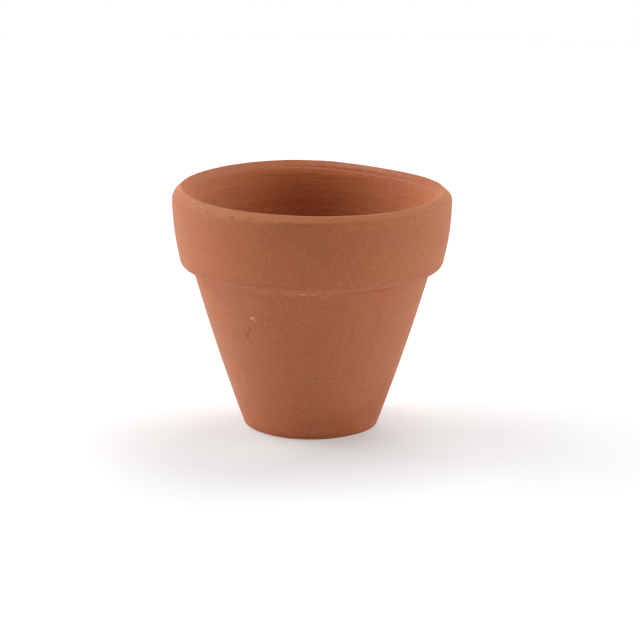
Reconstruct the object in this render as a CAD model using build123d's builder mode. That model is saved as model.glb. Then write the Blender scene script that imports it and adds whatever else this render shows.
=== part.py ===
from build123d import *
import os

# Terracotta plant pot: one tapered, round, open-topped vessel with a raised
# collar under its rim and a drain hole in its floor.
# Millimetres, +Z up. The origin is the centre of the face the pot stands on.

# ---- Outside of the body, below the collar ----
FOOT_RADIUS = 25.15  # where the wall would meet the standing face with no rounding
FOOT_ROUNDING = 2.0
BODY_TOP_RADIUS = 44.87
BODY_TOP_HEIGHT = 61.0
BODY_BELLY = 0.55  # how far the wall swells outside a straight cone

# ---- Collar ----
COLLAR_FOOT_RADIUS = 49.5
COLLAR_FOOT_HEIGHT = 62.7
COLLAR_FOOT_ROUNDING = 2.8
COLLAR_TOP_RADIUS = 52.5
COLLAR_TOP_HEIGHT = 88.3
COLLAR_BELLY = 0.6
SHOULDER_ROUNDING = 3.6
CREASE_ROUNDING = 0.5  # inside corner where the collar steps out of the body

# ---- Mouth and inside ----
MOUTH_RADIUS = 49.2
LIP_POINT_HEIGHT = 91.4  # where the lip's outer and inner slopes would meet in a point
LIP_ROUNDING = 0.45
INNER_LIP_RADIUS = 46.3  # where the bevel inside the mouth gives way to the wall
INNER_LIP_HEIGHT = 87.7
INNER_LIP_ROUNDING = 8.0
INNER_FLOOR_HEIGHT = 6.0
INNER_FLOOR_RADIUS = 21.1
INNER_FLOOR_ROUNDING = 4.0

# ---- Drain hole ----
DRAIN_RADIUS = 5.5
DRAIN_EDGE_ROUNDING = 0.8


def circle_edges(part, radius, height):
    """The round edge of this radius about the pot's axis at this height."""
    found = part.edges().filter_by(
        lambda edge: edge.geom_type == GeomType.CIRCLE
        and abs(edge.radius - radius) < 0.01
        and abs(edge.center(CenterOf.BOUNDING_BOX).Z - height) < 0.01
    )
    return found


# ======== Pot: thrown and turned as one piece of clay ========
with BuildPart() as pot:
    # Half of the section, from the standing face round to the floor inside
    with BuildSketch(Plane.XZ):
        with BuildLine():
            Line((0, 0), (FOOT_RADIUS, 0))
            SagittaArc(
                (FOOT_RADIUS, 0),
                (BODY_TOP_RADIUS, BODY_TOP_HEIGHT),
                -BODY_BELLY,
            )
            Line(
                (BODY_TOP_RADIUS, BODY_TOP_HEIGHT),
                (COLLAR_FOOT_RADIUS, COLLAR_FOOT_HEIGHT),
            )
            SagittaArc(
                (COLLAR_FOOT_RADIUS, COLLAR_FOOT_HEIGHT),
                (COLLAR_TOP_RADIUS, COLLAR_TOP_HEIGHT),
                -COLLAR_BELLY,
            )
            Line(
                (COLLAR_TOP_RADIUS, COLLAR_TOP_HEIGHT),
                (MOUTH_RADIUS, LIP_POINT_HEIGHT),
            )
            Line(
                (MOUTH_RADIUS, LIP_POINT_HEIGHT),
                (INNER_LIP_RADIUS, INNER_LIP_HEIGHT),
            )
            Line(
                (INNER_LIP_RADIUS, INNER_LIP_HEIGHT),
                (INNER_FLOOR_RADIUS, INNER_FLOOR_HEIGHT),
            )
            Line((INNER_FLOOR_RADIUS, INNER_FLOOR_HEIGHT), (0, INNER_FLOOR_HEIGHT))
            Line((0, INNER_FLOOR_HEIGHT), (0, 0))
        make_face()
    revolve(axis=Axis.Z)

    # The worn and hand-smoothed corners, from the foot upwards
    fillet(circle_edges(pot, FOOT_RADIUS, 0), FOOT_ROUNDING)
    fillet(circle_edges(pot, BODY_TOP_RADIUS, BODY_TOP_HEIGHT), CREASE_ROUNDING)
    fillet(
        circle_edges(pot, COLLAR_FOOT_RADIUS, COLLAR_FOOT_HEIGHT),
        COLLAR_FOOT_ROUNDING,
    )
    fillet(
        circle_edges(pot, COLLAR_TOP_RADIUS, COLLAR_TOP_HEIGHT),
        SHOULDER_ROUNDING,
    )
    fillet(circle_edges(pot, MOUTH_RADIUS, LIP_POINT_HEIGHT), LIP_ROUNDING)
    fillet(
        circle_edges(pot, INNER_LIP_RADIUS, INNER_LIP_HEIGHT),
        INNER_LIP_ROUNDING,
    )
    fillet(
        circle_edges(pot, INNER_FLOOR_RADIUS, INNER_FLOOR_HEIGHT),
        INNER_FLOOR_ROUNDING,
    )

    # The drain hole, with both of its mouths rounded over
    with Locations((0, 0, INNER_FLOOR_HEIGHT)):
        Hole(DRAIN_RADIUS, depth=INNER_FLOOR_HEIGHT)
    fillet(circle_edges(pot, DRAIN_RADIUS, 0), DRAIN_EDGE_ROUNDING)
    fillet(
        circle_edges(pot, DRAIN_RADIUS, INNER_FLOOR_HEIGHT),
        DRAIN_EDGE_ROUNDING,
    )
pot.part.label = "pot"


# ======== Write the solid ========
os.makedirs("parts", exist_ok=True)
export_step(pot.part, "parts/pot.step")
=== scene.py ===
import math

import bpy
import numpy as np
from mathutils import Matrix, Vector


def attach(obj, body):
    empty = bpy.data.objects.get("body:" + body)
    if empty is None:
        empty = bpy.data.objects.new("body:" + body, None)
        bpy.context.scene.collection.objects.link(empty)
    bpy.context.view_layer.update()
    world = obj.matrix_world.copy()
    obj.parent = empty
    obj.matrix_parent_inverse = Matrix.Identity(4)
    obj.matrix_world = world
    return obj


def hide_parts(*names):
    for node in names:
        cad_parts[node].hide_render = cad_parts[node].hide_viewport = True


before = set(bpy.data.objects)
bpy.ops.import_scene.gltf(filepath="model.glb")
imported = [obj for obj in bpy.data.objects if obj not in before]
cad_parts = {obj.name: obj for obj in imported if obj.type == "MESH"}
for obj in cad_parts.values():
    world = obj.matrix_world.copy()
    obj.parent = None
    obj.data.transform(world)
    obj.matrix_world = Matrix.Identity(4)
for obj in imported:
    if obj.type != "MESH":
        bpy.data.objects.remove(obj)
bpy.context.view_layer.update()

# A terracotta plant pot. Lengths in this script are in millimetres until a mesh is made.
# Azimuth 0 is the side towards the camera (-Y), and grows towards +X.

MM = 0.001

# ---------------------------------------------------------------- section of the pot
# Corners of the half section, from the drain hole's lower edge outwards, up the outside,
# over the lip and down the inside: radius, height, rounding, then the swell of the side
# that follows and the spacing of the mesh's rings along it. The corner without a rounding
# lies on the straight inside wall: the rings are further apart below it.
SECTION = [
    (5.5, 0.0, 0.8, 0.0, 1.6),
    (25.15, 0.0, 2.0, 0.55, 0.72),
    (44.87, 61.0, 0.5, 0.0, 0.35),
    (49.5, 62.7, 2.8, 0.6, 0.6),
    (52.5, 88.3, 3.6, 0.0, 0.3),
    (49.2, 91.4, 0.45, 0.0, 0.4),
    (46.3, 87.7, 8.0, 0.0, 0.55),
    (39.175, 64.6, 0.0, 0.0, 2.0),
    (21.1, 6.0, 4.0, 0.0, 2.0),
    (5.5, 6.0, 0.8, 0.0, 1.2),
]
ARC_SPACING = 0.3
FEWEST_ARC_STEPS = 4
SEGMENTS = 320
UNDERSIDE_RADIUS = 24.0  # within this the lower part of the section is the underside
TURN_SAMPLES = 4001
FRONT_CROWDING = 2.2  # extra density of the mesh's columns at the front, over the back


def rounded_section(corners):
    """Points round the closed section, with the corners rounded and the sides swollen."""
    count = len(corners)
    at = [np.array(c[:2], float) for c in corners]
    leave, arrive, arcs = [], [], []
    for i in range(count):
        into = at[i] - at[i - 1]
        out = at[(i + 1) % count] - at[i]
        into /= np.linalg.norm(into)
        out /= np.linalg.norm(out)
        turn = math.acos(float(np.clip(into @ out, -1, 1)))
        rounding = corners[i][2]
        cut = rounding * math.tan(turn / 2)
        arrive.append(at[i] - into * cut)
        leave.append(at[i] + out * cut)
        side = 1.0 if into[0] * out[1] - into[1] * out[0] > 0 else -1.0
        if rounding > 0:
            centre = arrive[i] + np.array([-into[1], into[0]]) * side * rounding
            spoke = arrive[i] - centre
            steps = max(FEWEST_ARC_STEPS, round(rounding * turn / ARC_SPACING))
            angles = np.linspace(0, side * turn, steps + 1)
            c, s = np.cos(angles), np.sin(angles)
            arc = np.stack([c * spoke[0] - s * spoke[1], s * spoke[0] + c * spoke[1]], 1)
            arcs.append(centre + arc)
        else:
            arcs.append(at[i][None])
    points = []
    for i in range(count):
        points.append(arcs[i])
        start, end = leave[i], arrive[(i + 1) % count]
        swell, spacing = corners[i][3:]
        along = end - start
        length = np.linalg.norm(along)
        t = np.linspace(0, 1, max(2, round(length / spacing)) + 1)[1:-1, None]
        outward = np.array([along[1], -along[0]]) / length
        points.append(start + along * t + outward * swell * 4 * t * (1 - t))
    return np.concatenate(points)


ring = rounded_section(SECTION)
RINGS = len(ring)
tangent = np.roll(ring, -1, 0) - np.roll(ring, 1, 0)
tangent /= np.linalg.norm(tangent, axis=1)[:, None]
normal = np.stack([tangent[:, 1], -tangent[:, 0]], 1)
strides = np.linalg.norm(np.roll(ring, -1, 0) - ring, axis=1)
run = np.concatenate([[0], np.cumsum(strides)[:-1]])  # distance round the section
top = int(ring[:, 1].argmax())

radius = ring[:, 0][:, None]
height = ring[:, 1][:, None]
run = run[:, None]
full_turn = np.linspace(-math.pi, math.pi, TURN_SAMPLES)
crowding = np.cumsum(1 + FRONT_CROWDING * (0.5 + 0.5 * np.cos(full_turn)) ** 2)
columns = (np.arange(SEGMENTS) + 0.5) / SEGMENTS
azimuth = np.interp(columns, crowding / crowding[-1], full_turn)[None]
outside = (np.arange(RINGS) <= top)[:, None] & (radius > UNDERSIDE_RADIUS)
inside = (np.arange(RINGS) > top)[:, None]


# ---------------------------------------------------------------- fields on the surface
def b_spline(t):
    """The four weights of a cubic spline, this far on from a grid point."""
    return (
        (1 - t) ** 3 / 6,
        (3 * t**3 - 6 * t**2 + 4) / 6,
        (-3 * t**3 + 3 * t**2 + 3 * t + 1) / 6,
        t**3 / 6,
    )


FIELD_GAIN = 1.5  # brings the spline of normal values to about -1 to 1


def field(seed, across, along, climb=0):
    """A smooth random field, about -1 to 1. across is the number of cells round the pot,
    along their length in mm round the section, climb the cells that they rise in a turn."""
    rows = int(run.max() / along) + 6
    grid = np.random.default_rng(seed).standard_normal((rows, across))
    u = azimuth / (2 * math.pi) * across + 0 * run
    v = run / along + climb * azimuth / (2 * math.pi) + 1
    iu, iv = np.floor(u).astype(int), np.floor(v).astype(int)
    wu, wv = b_spline(u - iu), b_spline(v - iv)
    total = np.zeros((RINGS, SEGMENTS))
    for a in range(4):
        for b in range(4):
            column = iu + b - 1
            row = iv + a - 1 - climb * (column // across)
            total += wv[a] * wu[b] * grid[row % rows, column % across]
    return total * FIELD_GAIN


def smooth(value, low, high):
    """0 up to the low value, 1 from the high one, and a soft step between them."""
    t = np.clip((value - low) / (high - low), 0, 1)
    return t * t * (3 - 2 * t)


def bump_at(value, centre, half_width):
    """1 where the value is at the centre, fading to nothing on either side."""
    return np.exp(-(((value - centre) / half_width) ** 2))


def run_at(z, on_inside=False):
    """The distance round the section at a height on the outer or inner wall."""
    rows = np.arange(RINGS)
    chosen = rows >= top if on_inside else (rows <= top) & (ring[:, 0] > UNDERSIDE_RADIUS)
    heights, runs = ring[chosen, 1], run[chosen, 0]
    order = np.argsort(heights)
    return float(np.interp(z, heights[order], runs[order]))


def turned_from(azimuth_deg):
    """The angle from this azimuth, between half a turn back and half a turn on."""
    return (azimuth - math.radians(azimuth_deg) + math.pi) % (2 * math.pi) - math.pi


def side_at(azimuth_deg, half_angle_deg):
    """1 at this azimuth, fading to nothing on either side of it."""
    return bump_at(turned_from(azimuth_deg), 0, math.radians(half_angle_deg))


def offsets_from(azimuth_deg, z, tilt_deg):
    """Distances in mm across and along the outer wall from a point on it, with a tilt."""
    x = turned_from(azimuth_deg) * radius
    y = run - run_at(z)
    c, s = math.cos(math.radians(tilt_deg)), math.sin(math.radians(tilt_deg))
    return c * x + s * y, -s * x + c * y


def dab(azimuth_deg, z, half_across, half_along, tilt_deg=0.0):
    """1 at a point of the outer wall, fading to nothing round it."""
    x, y = offsets_from(azimuth_deg, z, tilt_deg)
    return np.exp(-((x / half_across) ** 2) - ((y / half_along) ** 2))


# Heights of the features that the relief and the colours follow.
LIP_EDGE_HEIGHT = 89.2  # the smoothed lip's lower edge
BAND_HEIGHT = 84.8  # the band of fine marks below the shoulder
GROOVE_HEIGHT = 88.9
BRIGHT_EDGE_HEIGHT = 89.9
RIDGE_HEIGHT = 83.5
ARRIS_HEIGHT = 91.2
UPPER_BEVEL_HEIGHT = 91.0
SMOOTHED_TO_HEIGHT = 87.2  # how far the smoothed clay goes down inside the mouth
CREASE_HEIGHT = 61.3
COLLAR_FACE_HEIGHT = 62.3  # where the collar's lower face turns up into its side
STANDING_INNER_RADIUS = 20.0  # the foot's dirt and wear stay outside this

# Slow swells left by the hand and by firing, then rings left by the turning tool.
shape = 0.06 * field(11, 5, 30) + 0.015 * field(12, 18, 9)
shape += 0.010 * field(13, 3, 1.7, climb=1) * outside
shape += 0.005 * field(14, 90, 1.3) * outside
shape += 0.045 * field(15, 3, 2.4, climb=1) * inside
shape += 0.018 * field(16, 5, 1.2, climb=1) * inside * (height > 64)

# ---- The mouth: a fine band of marks below the shoulder, a ragged lower edge to the
# smoothed lip, and a groove under part of the band that the same tool left inside.
lip_run = run_at(LIP_EDGE_HEIGHT)
ragged = 0.45 * field(21, 120, 40) + 0.25 * field(22, 34, 40)
lip_from = run - lip_run + ragged
crisp = side_at(-8, 19)  # where the edge is still sharp
shape += 0.080 * crisp * bump_at(lip_from, 0.0, 0.45) * (0.4 + 0.9 * field(24, 60, 40))
rough_side = side_at(5, 24)
shape += 0.05 * rough_side * field(23, 140, 0.7) * bump_at(height, BAND_HEIGHT, 1.8) * outside
shape += 0.025 * field(25, 90, 0.9) * bump_at(run, run_at(ARRIS_HEIGHT), 0.8)
shape += 0.020 * field(26, 6, 0.9) * inside * (height > 86)
groove_side = side_at(150, 34)
shape -= 0.36 * bump_at(run, run_at(GROOVE_HEIGHT, True), 0.42) * groove_side * inside
bright_side = side_at(157, 18)
shape += 0.12 * bump_at(run, run_at(BRIGHT_EDGE_HEIGHT, True), 0.75) * bright_side * inside
ridge_side = side_at(227, 22)
shape += 0.10 * bump_at(run, run_at(RIDGE_HEIGHT, True), 0.7) * ridge_side * inside

# ---- The crease under the collar: a low uneven bead of clay smeared into the corner.
crease_run = run_at(CREASE_HEIGHT)
dotted = side_at(-7, 19)
dots = np.clip(2.2 * field(31, 300, 1.1) - 0.1, 0, 1.2) * dotted
dots = dots * (1 - smooth(run, crease_run + 1.3, crease_run + 2.3))
bead = bump_at(run, crease_run + 0.3, 0.9) * (0.22 + 0.3 * field(33, 24, 40) + 1.1 * dots)
shape += 0.20 * np.clip(bead, 0, 1.3)
shape -= 0.07 * bump_at(run, crease_run - 2.4, 0.9) * (0.6 + 0.6 * field(32, 24, 5))
dash = dab(5.8, 60.05, 1.5, 0.35)  # one smear stands apart, just below it
shape += 0.15 * dash * outside

# ---- Single marks: azimuth, height, half width, half length, tilt, depth. A negative
# depth is a raised line.
MARKS = [
    (-47.8, 89.1, 0.42, 0.36, 0, 0.32),
    (-33.9, 88.9, 0.42, 0.36, 15, 0.38),
    (-25.8, 89.4, 0.60, 0.40, 0, 0.18),
    (-34.5, 44.5, 0.32, 1.20, -32, 0.22),
    (-36.5, 42.0, 0.32, 1.20, -14, 0.25),
    (-24.4, 47.6, 0.35, 1.00, 4, -0.10),
    (-25.6, 50.6, 0.35, 0.70, 0, 0.14),
    (-22.6, 49.8, 0.35, 0.90, 0, 0.12),
    (22.1, 46.1, 0.40, 1.80, 8, 0.10),
    (36.9, 49.3, 0.34, 2.20, 19, 0.09),
    (35.7, 49.5, 0.36, 2.00, 12, -0.20),
    (36.6, 43.5, 0.34, 2.40, -20, 0.10),
    (35.4, 43.6, 0.36, 2.20, -12, -0.20),
    (35.5, 37.6, 0.34, 2.20, 9, 0.08),
    (37.6, 36.5, 0.40, 3.30, 15, -0.12),
]

# ---- Painted shade under the collar, below its edge and on the foot; a darker low wall; dirt in marks.
dirt_and_shade = np.zeros((RINGS, SEGMENTS))
# Painted shade on the collar's underside, stronger round azimuth 54, weaker round -50, kept
# off the pale dots.
under_collar = smooth(run, crease_run - 0.8, crease_run + 0.2)
face_end = run_at(COLLAR_FACE_HEIGHT)
under_collar = under_collar * (1 - smooth(run, face_end, run_at(COLLAR_FACE_HEIGHT + 0.8)))
lighter_side = side_at(-50, 22)
darker_side = side_at(54, 18)
under_collar_shade = 0.23 - 0.06 * lighter_side + 0.16 * darker_side
dirt_and_shade += under_collar_shade * under_collar * (1 - np.clip(dots, 0, 1))
# Painted shade: a thin dark line just below the collar's edge, round azimuth 32.
shade_line = side_at(32, 15) * bump_at(run, crease_run - 0.7, 0.5)
dirt_and_shade += 0.16 * shade_line
# The low wall is darker towards the bottom, most round azimuth 25; a patch low round azimuth
# 60 is darker too.
darker_low_side = 0.07 + 0.10 * side_at(25, 20)
# Painted contact shade along the foot's lower edge, where it meets the floor.
foot_contact_shade = (1 - smooth(height, 0.4, 2.4)) * (radius > STANDING_INNER_RADIUS) * (inside < 1)
dirt_and_shade += 0.22 * foot_contact_shade
low_wall = (1 - smooth(height, 1.0, 20.0)) * (radius > STANDING_INNER_RADIUS) * (inside < 1)
dirt_and_shade += darker_low_side * low_wall
dirt_and_shade += 0.09 * side_at(60, 20) * bump_at(height, 13.0, 11.0) * outside
for mark_azimuth, mark_height, half_width, half_length, tilt, mark_depth in MARKS:
    mark = dab(mark_azimuth, mark_height, half_width, half_length, tilt) * outside
    shape -= mark_depth * mark
    dirt_and_shade = np.maximum(dirt_and_shade, mark * np.clip(1.6 * mark_depth, 0, 1))

# ---- A speck of lime that stands a little proud, with a smaller one beside it.
lime = 1.1 * dab(-31.4, 49.6, 0.55, 0.34) + 0.4 * dab(-29.6, 49.3, 0.40, 0.30)
shape += 0.12 * lime * outside

# ---- The foot, with the trimming rings of the underside and a little wear on its edge.
TRIMMED_FROM_RADIUS = 6.5
TRIMMED_TO_RADIUS = 25.0
under = (height < 1.0) & (radius < TRIMMED_TO_RADIUS) & (radius > TRIMMED_FROM_RADIUS)
shape += 0.05 * field(41, 3, 1.7, climb=1) * under
hollow = (1 - smooth(radius, 19.5, 22.0)) * smooth(radius, TRIMMED_FROM_RADIUS, 8.5)
shape -= 0.10 * under * hollow
foot_wear = bump_at(height, 1.0, 1.4) * (radius > STANDING_INNER_RADIUS)
shape += 0.07 * field(42, 60, 1.2) * foot_wear
shape += 0.06 * field(43, 9, 0.9) * (radius < 7.5)  # round the drain hole

# ---- Where the clay differs, in 0..1, for the material: pale bloom and a painted highlight,
# lime, the smoothed lip and painted light, the bare inside below it, and painted shade deep
# inside at the back.
band_end = run_at(SMOOTHED_TO_HEIGHT, True)
band = 1 - smooth(run + 0.5 * ragged, band_end - 1.8, band_end + 2.2)
bloom_and_highlight = 0.20 * np.clip(dots, 0, 1) * under_collar
bloom_and_highlight += 0.26 * dash
# Smears of slurry by the crease: azimuth, half angle, distance past it, strength.
SMEARS = [(-47, 15, -0.3, 0.09), (54, 15, 1.6, 0.17)]
for smear_azimuth, half_angle, above, strength in SMEARS:
    smear = side_at(smear_azimuth, half_angle)
    bloom_and_highlight = bloom_and_highlight + strength * smear * bump_at(run, crease_run + above, 1.3)
bloom_and_highlight += 0.15 * dab(-38.6, 88.8, 2.6, 0.9, 5)
bloom_and_highlight += 0.12 * dab(-30.3, 56.4, 4.2, 1.4, -18)
bloom_and_highlight = np.clip(bloom_and_highlight * outside, 0, 1)
bevel_run = run_at(UPPER_BEVEL_HEIGHT)
upper_bevel = smooth(run, bevel_run, bevel_run + 0.6) * (height > 89) * inside
# Painted highlight on the upper inner bevel at the back, round azimuth 157, and a little
# round 218.
bloom_and_highlight += 0.42 * side_at(157, 26) * upper_bevel
bloom_and_highlight += 0.11 * side_at(218, 22) * upper_bevel
lime = np.clip(lime * outside, 0, 1)
inner = 1 - band

# The smoothed lip, paler as wiped clay and as painted light, starts at its ragged edge,
# which fades out downwards away from the front, and it is half as strong at the pot's sides.
vague = 1 - crisp
lip_smoothing_and_light = smooth(lip_from, -0.3 - 4.7 * vague, 0.3 + 0.7 * vague) * band
lip_smoothing_and_light = lip_smoothing_and_light * (1 - 0.5 * np.sin(azimuth) ** 2)

# Painted light: the collar is made a little paler, its flanks more than its front.
lit_flanks = side_at(45, 24) + side_at(-43, 24)
on_collar = smooth(run, crease_run + 4.5, crease_run + 8.5)
on_collar = on_collar * (1 - smooth(run, lip_run - 2.0, lip_run))
lip_smoothing_and_light += (0.10 + 0.32 * lit_flanks) * on_collar

# Painted shade: the clay darkens downwards inside, and most on the wall that faces the
# camera.
painted_inner_shade = 0.35 * smooth(run, band_end + 4.0, band_end + 26.0)
shade = smooth(height, 25.0, 55.0) * smooth(run, band_end - 3.0, band_end + 8.5)
facing_wall = bump_at(turned_from(181), 0, 0.42)
painted_inner_shade = painted_inner_shade + 0.65 * shade * facing_wall

# ---------------------------------------------------------------- out of true
# The pot leans a little, and its mouth isn't quite level or round. Each list holds the
# sine and cosine amplitudes, in mm, of one turn, two turns and so on. They aren't chosen
# by hand: they are the rounded result of a least-squares fit of the rim.
RIM_HEIGHT_WAVES = [(-0.42, 0.12), (0.28, 0.00), (-0.18, -0.16), (0.01, 0.18)]
LIP_RADIUS_WAVES = [(0.09, 0.01), (0.42, 0.00), (-0.04, 0.04)]
SHOULDER_RADIUS_WAVES = [(0.00, 0.06), (-0.19, -0.20)]
# Low lumps and dips on the rim: azimuth and half width in degrees, then the rise.
RIM_LUMPS = [(172, 5, 0.10), (128, 11, 0.06), (-98, 6, 0.16), (97, 7, -0.20)]
# How far the pot's axis has moved in X at each height.
LEAN_HEIGHTS = [0.0, 12.0, 61.0, 75.0]
LEAN = [-0.12, -0.09, -0.04, 0.0]


def waves(pairs):
    """The sum of the sine and cosine waves round the pot."""
    total = 0 * azimuth
    for turns, (sine, cosine) in enumerate(pairs, 1):
        total = total + sine * np.sin(turns * azimuth) + cosine * np.cos(turns * azimuth)
    return total


# How much of each distortion reaches a height.
lip_share = np.where(inside, smooth(height, 70.0, 91.0), smooth(height, 86.5, 91.0))
shoulder_share = smooth(height, 66.0, 84.0) * (1 - lip_share) * (1 - inside)
dz = smooth(height, 58.0, 90.0) * waves(RIM_HEIGHT_WAVES)
for lump_azimuth, half_width, rise in RIM_LUMPS:
    lump = side_at(lump_azimuth, half_width)
    dz = dz + rise * lump * smooth(height, 86.0, 90.5)
dr = lip_share * waves(LIP_RADIUS_WAVES) + shoulder_share * waves(SHOULDER_RADIUS_WAVES)
r_all = radius + dr + shape * normal[:, 0][:, None]
z_all = height + shape * normal[:, 1][:, None] + dz
x_all = r_all * np.sin(azimuth) + np.interp(height, LEAN_HEIGHTS, LEAN)
y_all = -r_all * np.cos(azimuth)
z_all = np.maximum(z_all, 0.0)  # the standing face stays flat on the floor


# ---------------------------------------------------------------- mesh
CLAY_LAYERS = {
    "bloom_and_highlight": bloom_and_highlight,
    "dirt_and_shade": dirt_and_shade,
    "lime": lime,
    "lip_smoothing_and_light": lip_smoothing_and_light,
    "inner": inner,
    "painted_inner_shade": painted_inner_shade,
}


def make_pot_mesh():
    """The section swept round the pot, with each clay layer as an attribute."""
    verts = np.stack([x_all, y_all, z_all], 2).reshape(-1, 3) * MM
    i = np.arange(RINGS)[:, None]
    j = np.arange(SEGMENTS)[None]
    i2, j2 = (i + 1) % RINGS, (j + 1) % SEGMENTS
    quads = [i * SEGMENTS + j, i * SEGMENTS + j2, i2 * SEGMENTS + j2, i2 * SEGMENTS + j]
    faces = np.stack(quads, 2).reshape(-1, 4)
    mesh = bpy.data.meshes.new("pot_clay")
    mesh.from_pydata(verts.tolist(), [], faces.tolist())
    for name, values in CLAY_LAYERS.items():
        layer = mesh.attributes.new(name, "FLOAT", "POINT")
        layer.data.foreach_set("value", values.astype(np.float32).ravel())
    mesh.polygons.foreach_set("use_smooth", [True] * len(mesh.polygons))
    mesh.update()
    return mesh


# ---------------------------------------------------------------- fired clay
class Nodes:
    """A few shorthands for building a node tree."""

    def __init__(self, tree):
        self.tree = tree
        tree.nodes.clear()

    def add(self, kind, **settings):
        node = self.tree.nodes.new(kind)
        inputs = settings.pop("inputs", {})
        for key, value in settings.items():
            setattr(node, key, value)
        for key, value in inputs.items():
            self.put(node, key, value)
        return node

    def put(self, node, key, value):
        if isinstance(value, bpy.types.NodeSocket):
            self.tree.links.new(value, node.inputs[key])
        else:
            node.inputs[key].default_value = value

    def noise(self, vector, scale, detail=2.0, roughness=0.5):
        node = self.add(
            "ShaderNodeTexNoise",
            inputs={
                "Vector": vector,
                "Scale": scale,
                "Detail": detail,
                "Roughness": roughness,
            },
        )
        return node.outputs["Fac"]

    def span(self, value, low, high, to_low, to_high):
        node = self.add(
            "ShaderNodeMapRange",
            inputs={
                "Value": value,
                "From Min": low,
                "From Max": high,
                "To Min": to_low,
                "To Max": to_high,
            },
        )
        return node.outputs["Result"]

    def math(self, operation, a, b):
        node = self.add("ShaderNodeMath", operation=operation)
        self.put(node, 0, a)
        self.put(node, 1, b)
        return node.outputs[0]

    def mix(self, factor, a, b, blend="MIX"):
        node = self.add("ShaderNodeMix", data_type="RGBA", blend_type=blend)
        self.put(node, 0, factor)
        self.put(node, 6, a)
        self.put(node, 7, b)
        return node.outputs[2]

    def attribute(self, name):
        return self.add("ShaderNodeAttribute", attribute_name=name).outputs["Fac"]


# Linear colours. The tints multiply the colour under them.
CLAY_DARK = (0.438, 0.107, 0.0325, 1)
CLAY_SANDY = (0.560, 0.174, 0.0650, 1)
PINK_TINT = (0.985, 1.03, 1.14, 1)
# The smoothed lip's paleness, partly wiped clay and partly painted light.
LIP_AND_LIGHT_TINT = (1.157, 1.226, 0.950, 1)
INNER_TINT = (1.165, 1.28, 0.96, 1)
# Painted shade deep inside the pot.
INNER_SHADE_TINT = (0.62, 0.56, 0.63, 1)
SPECK_TINT = (0.985, 1.02, 1.07, 1)
WHITE = (1, 1, 1, 1)
# Pale bloom, also used for a painted highlight inside the lip.
BLOOM_AND_HIGHLIGHT_PALE = (0.800, 0.460, 0.320, 1)
# Dark for dirt and for painted shade.
DIRT_AND_SHADE_DARK = (0.205, 0.062, 0.045, 1)
LIME_WHITE = (0.900, 0.650, 0.480, 1)
SHEEN_TINT = (1.0, 0.88, 0.68, 1)

# Noise scales in cells per metre.
DRIFT_SCALE = 60.0
MOTTLE_SCALE = 160.0
SPECK_SCALE = 260.0
PATCH_SCALE = 420.0
PORE_SCALE = 620.0
RING_SCALE = 1100.0
GRAIN_SCALE = 1500.0
SAND_SCALE = 1800.0
RING_STRETCH = (0.03, 0.03, 1)  # draws the noise out level, round the pot

BUMP_STRENGTH = 0.7
BUMP_DISTANCE = 0.00015
DIFFUSE_ROUGHNESS = 0.9
SHEEN_ROUGHNESS = 0.6
SPECULAR_CLEAN = 0.5
SPECULAR_DULL = 0.1
SHEEN_CLEAN = 0.095
SHEEN_DULL = 0.0
DULL_DARKENING = 0.2  # from this much dirt and painted shade on, the clay is as dull as it gets
PORE_RADIUS = 0.22  # in cells of the pore pattern
PORE_DEPTH = 1.2


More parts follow.
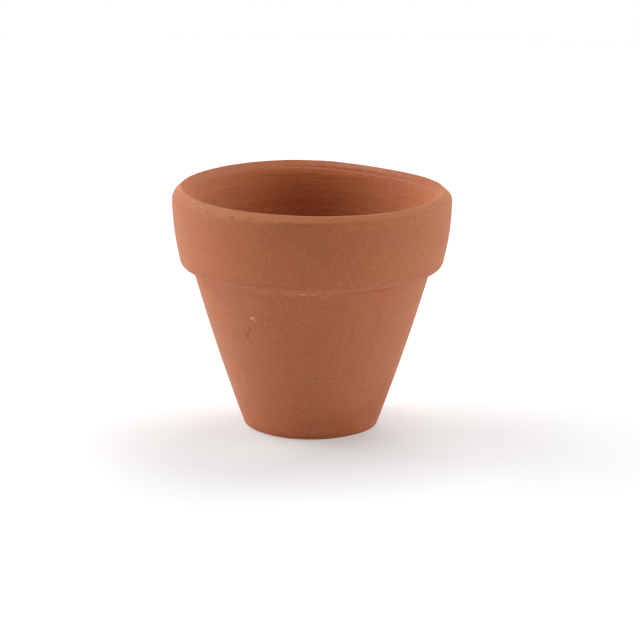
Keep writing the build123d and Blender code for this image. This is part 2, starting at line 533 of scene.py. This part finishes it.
def fired_clay():
    """The clay's material: colour, fine relief and dull surface."""
    material = bpy.data.materials.new("fired_red_clay")
    material.use_nodes = True
    n = Nodes(material.node_tree)
    place = n.add("ShaderNodeTexCoord").outputs["Object"]

    # Colour: a sandy grain over faint mottling, with level streaks that are strongest
    # inside, and slow drifts from orange to pink.
    mottle = n.noise(place, MOTTLE_SCALE)
    grain = n.noise(place, GRAIN_SCALE, 2.0, 0.6)
    mottled = n.span(mottle, 0.3, 0.7, -0.06, 0.06)
    sandiness = n.math("ADD", mottled, n.span(grain, 0.25, 0.75, 0.0, 1.0))
    level = n.add(
        "ShaderNodeVectorMath", operation="MULTIPLY", inputs={0: place, 1: RING_STRETCH}
    )
    rings = n.noise(level.outputs[0], RING_SCALE, 2.0, 0.6)
    inner = n.attribute("inner")
    ring_share = n.span(inner, 0.0, 1.0, 0.06, 0.33)
    ringed = n.math("MULTIPLY", ring_share, n.span(rings, 0.3, 0.7, -1.0, 1.0))
    sandiness = n.math("ADD", sandiness, ringed)
    colour = n.mix(sandiness, CLAY_DARK, CLAY_SANDY)
    drift = n.span(n.noise(place, DRIFT_SCALE), 0.35, 0.65, 0.0, 1.0)
    colour = n.mix(1.0, colour, n.mix(drift, WHITE, PINK_TINT), "MULTIPLY")
    speck = n.span(n.noise(place, SPECK_SCALE, 1.0), 0.35, 0.65, 0.0, 1.0)
    colour = n.mix(1.0, colour, n.mix(speck, WHITE, SPECK_TINT), "MULTIPLY")
    lip_smoothing_and_light = n.attribute("lip_smoothing_and_light")
    # The smoothed lip and the collar are made paler: partly wiped clay, partly painted light.
    colour = n.mix(lip_smoothing_and_light, colour, n.mix(1.0, colour, LIP_AND_LIGHT_TINT, "MULTIPLY"))
    colour = n.mix(inner, colour, n.mix(1.0, colour, INNER_TINT, "MULTIPLY"))
    # Painted shade inside: darker downwards, and most on the wall that faces the camera.
    colour = n.mix(n.attribute("painted_inner_shade"), colour, n.mix(1.0, colour, INNER_SHADE_TINT, "MULTIPLY"))

    # Bloom and the painted highlight, in patches, then dirt and painted shade, and lime,
    # where the mesh carries them.
    patchy = n.span(n.noise(place, PATCH_SCALE, 3.0, 0.7), 0.32, 0.62, 0.25, 1.0)
    colour = n.mix(n.math("MULTIPLY", n.attribute("bloom_and_highlight"), patchy), colour, BLOOM_AND_HIGHLIGHT_PALE)
    dirt_and_shade = n.attribute("dirt_and_shade")
    colour = n.mix(dirt_and_shade, colour, DIRT_AND_SHADE_DARK)
    colour = n.mix(n.attribute("lime"), colour, LIME_WHITE)

    # Relief too fine for the mesh: sand grains, open pores and fine turning lines, all
    # worn down on the lip.
    sand = n.noise(place, SAND_SCALE, 3.0, 0.65)
    pores = n.add(
        "ShaderNodeTexVoronoi", feature="F1", inputs={"Vector": place, "Scale": PORE_SCALE}
    ).outputs["Distance"]
    pores = n.span(pores, 0.0, PORE_RADIUS, -PORE_DEPTH, 0.0)
    relief = n.math("ADD", sand, n.math("MULTIPLY", pores, 0.25))
    line_depth = n.span(inner, 0.0, 1.0, 0.1, 0.75)
    relief = n.math("ADD", relief, n.math("MULTIPLY", rings, line_depth))
    relief = n.math("MULTIPLY", relief, n.span(lip_smoothing_and_light, 0.0, 1.0, 1.0, 0.6))
    bump = n.add(
        "ShaderNodeBump",
        inputs={"Strength": BUMP_STRENGTH, "Distance": BUMP_DISTANCE, "Height": relief},
    )

    # Dry clay: dull, with a dusty sheen that the dirt and the painted shade take away.
    specular = n.span(dirt_and_shade, 0.0, DULL_DARKENING, SPECULAR_CLEAN, SPECULAR_DULL)
    sheen = n.span(dirt_and_shade, 0.0, DULL_DARKENING, SHEEN_CLEAN, SHEEN_DULL)
    shader = n.add("ShaderNodeBsdfPrincipled")
    n.put(shader, "Base Color", colour)
    n.put(shader, "Roughness", n.span(sand, 0.3, 0.7, 0.72, 0.88))
    n.put(shader, "Diffuse Roughness", DIFFUSE_ROUGHNESS)
    n.put(shader, "Specular IOR Level", specular)
    n.put(shader, "Sheen Weight", sheen)
    n.put(shader, "Sheen Roughness", SHEEN_ROUGHNESS)
    n.put(shader, "Sheen Tint", SHEEN_TINT)
    n.put(shader, "Normal", bump.outputs["Normal"])
    out = n.add("ShaderNodeOutputMaterial")
    n.put(out, "Surface", shader.outputs[0])
    return material


def add_object(name, data):
    """A new object in the scene."""
    thing = bpy.data.objects.new(name, data)
    bpy.context.scene.collection.objects.link(thing)
    return thing


pot = add_object("pot_clay", make_pot_mesh())
pot.data.materials.append(fired_clay())
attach(pot, "root")
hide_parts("pot")


# ---------------------------------------------------------------- studio
FLOOR_SPECULAR = 0.1
FLOOR_RADIUS = 0.9
FLOOR_SIDES = 96
FLOOR_GREY = (0.50, 0.50, 0.50, 1)
FLOOR_ROUGHNESS = 0.9
FLOOR_GLOW = 0.35


def floor_paint():
    """A matt grey that glows a little, so that the floor is as pale as the backdrop."""
    material = bpy.data.materials.new("pale_floor")
    material.use_nodes = True
    shader = material.node_tree.nodes["Principled BSDF"]
    shader.inputs["Base Color"].default_value = FLOOR_GREY
    shader.inputs["Roughness"].default_value = FLOOR_ROUGHNESS
    shader.inputs["Specular IOR Level"].default_value = FLOOR_SPECULAR
    shader.inputs["Emission Color"].default_value = WHITE
    shader.inputs["Emission Strength"].default_value = FLOOR_GLOW
    return material


floor_mesh = bpy.data.meshes.new("studio_floor")
floor_rim = []
for side in range(FLOOR_SIDES):
    bearing = 2 * math.pi * side / FLOOR_SIDES
    floor_rim.append((FLOOR_RADIUS * math.cos(bearing), FLOOR_RADIUS * math.sin(bearing), 0))
floor_mesh.from_pydata(floor_rim, [], [tuple(range(FLOOR_SIDES))])
floor = add_object("studio_floor", floor_mesh)
floor_mesh.materials.append(floor_paint())

BOX_SIZE = 0.9
BOX_DISTANCE = 1.3
BOX_AIM = Vector((0, 0, 0.05))


def soft_box(name, azimuth_deg, elevation_deg, power):
    """A square area light that faces the middle of the pot."""
    data = bpy.data.lights.new(name, "AREA")
    data.shape = "SQUARE"
    data.size = BOX_SIZE
    data.energy = power
    light = add_object(name, data)
    a, e = math.radians(azimuth_deg), math.radians(elevation_deg)
    away = Vector((math.sin(a) * math.cos(e), -math.cos(a) * math.cos(e), math.sin(e)))
    light.location = BOX_AIM + away * BOX_DISTANCE
    light.rotation_euler = away.to_track_quat("Z", "Y").to_euler()
    light.visible_camera = False


# Low boxes on either side, higher ones behind them and weak fills in front: the sides of
# the pot are bright and its front is a little in shade. Name, azimuth, elevation, watts.
# Most of the watts are the rounded result of a least-squares solve, not a hand-set rig.
SOFT_BOXES = [
    ("softbox_right", 90, 8, 14.1),
    ("softbox_right_rear_high", 150, 60, 16.3),
    ("softbox_left", -90, 8, 8.5),
    ("softbox_left_high", -90, 30, 4.5),
    ("softbox_left_rear", -120, 30, 6.3),
    ("softbox_left_rear_high", -120, 55, 7.6),
    ("fill_left", -30, 8, 1.6),
    ("fill_front", 0, 8, 2.2),
    ("fill_right", 50, 8, 0.9),
]
for box in SOFT_BOXES:
    soft_box(*box)

# The backdrop is white to the eye and gives no light of its own.
world = bpy.data.worlds.new("studio")
world.use_nodes = True
n = Nodes(world.node_tree)
seen = n.add("ShaderNodeLightPath").outputs["Is Camera Ray"]
backdrop = n.add("ShaderNodeBackground", inputs={"Color": WHITE, "Strength": seen})
n.put(n.add("ShaderNodeOutputWorld"), "Surface", backdrop.outputs[0])
scene = bpy.context.scene
scene.world = world
scene.view_settings.view_transform = "Standard"

# ---------------------------------------------------------------- camera
CAMERA_DISTANCE = 1.1364
CAMERA_ELEVATION = math.radians(14.5)
CAMERA_ROLL = math.radians(0.38)
LENS = 169.2
SENSOR_WIDTH = 36.0
AIM_HEIGHT = 0.04546
AIM_RIGHT = 0.00322  # the pot stands a little left of and above the picture's centre
AIM_DOWN = 0.00539

camera_data = bpy.data.cameras.new("camera")
camera_data.lens = LENS
camera_data.sensor_width = SENSOR_WIDTH
camera = add_object("camera", camera_data)
towards = Vector((0, -math.cos(CAMERA_ELEVATION), math.sin(CAMERA_ELEVATION)))
camera.location = Vector((0, 0, AIM_HEIGHT)) + towards * CAMERA_DISTANCE
up = Vector((0, math.sin(CAMERA_ELEVATION), math.cos(CAMERA_ELEVATION)))
aim = Vector((AIM_RIGHT, 0, AIM_HEIGHT)) - up * AIM_DOWN
back = (camera.location - aim).normalized()
turned = back.to_track_quat("Z", "Y").to_matrix() @ Matrix.Rotation(CAMERA_ROLL, 3, "Z")
camera.rotation_euler = turned.to_euler()
scene.camera = camera
